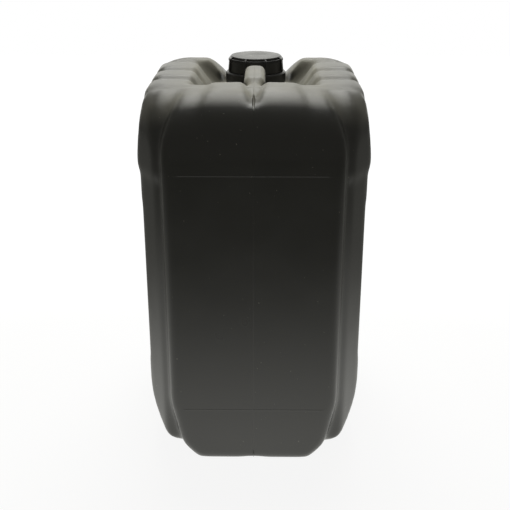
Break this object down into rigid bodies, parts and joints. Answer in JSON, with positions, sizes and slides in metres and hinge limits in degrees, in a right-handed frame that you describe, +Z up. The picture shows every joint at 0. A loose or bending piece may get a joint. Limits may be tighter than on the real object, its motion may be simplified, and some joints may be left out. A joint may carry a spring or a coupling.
{
  "type": "stackable oil canister",
  "caption": "Tall stackable blow-moulded oil canister with a hollow top handle, ribbed shoulders, a keel base and an off-centre screw cap with a tamper ring.",
  "frame": {"origin": "middle of the base, on the surface that the canister stands on", "axes": "+X across the canister, +Y from the grip end towards the cap end, +Z up"},
  "size_m": [0.238, 0.29, 0.4016],
  "materials": {
    "canister_plastic": "satin, faintly mottled blow moulded polyethylene",
    "cap_plastic": "satin moulded polyethylene",
    "liner_foam": "matt foamed polyethylene"
  },
  "bodies": {
    "canister": {"body": "canister_plastic", "tamper_ring": "cap_plastic"},
    "liner": {"seal_liner": "liner_foam"},
    "cap": {"cap": "cap_plastic"}
  },
  "joints": [
    {"name": "cap_lift", "type": "slide", "parent": "canister", "child": "liner", "axis": [0, 0, 1], "range_m": [0, 0.0211]},
    {"name": "cap_turn", "type": "hinge", "parent": "liner", "child": "cap", "pos_m": [0, 0.085, 0.39], "axis": [0, 0, 1], "range_deg": [0, 1260]}
  ],
  "couplings": [
    {"joint": "cap_lift", "follows": "cap_turn", "m_per_rad": 0.00095493}
  ]
}
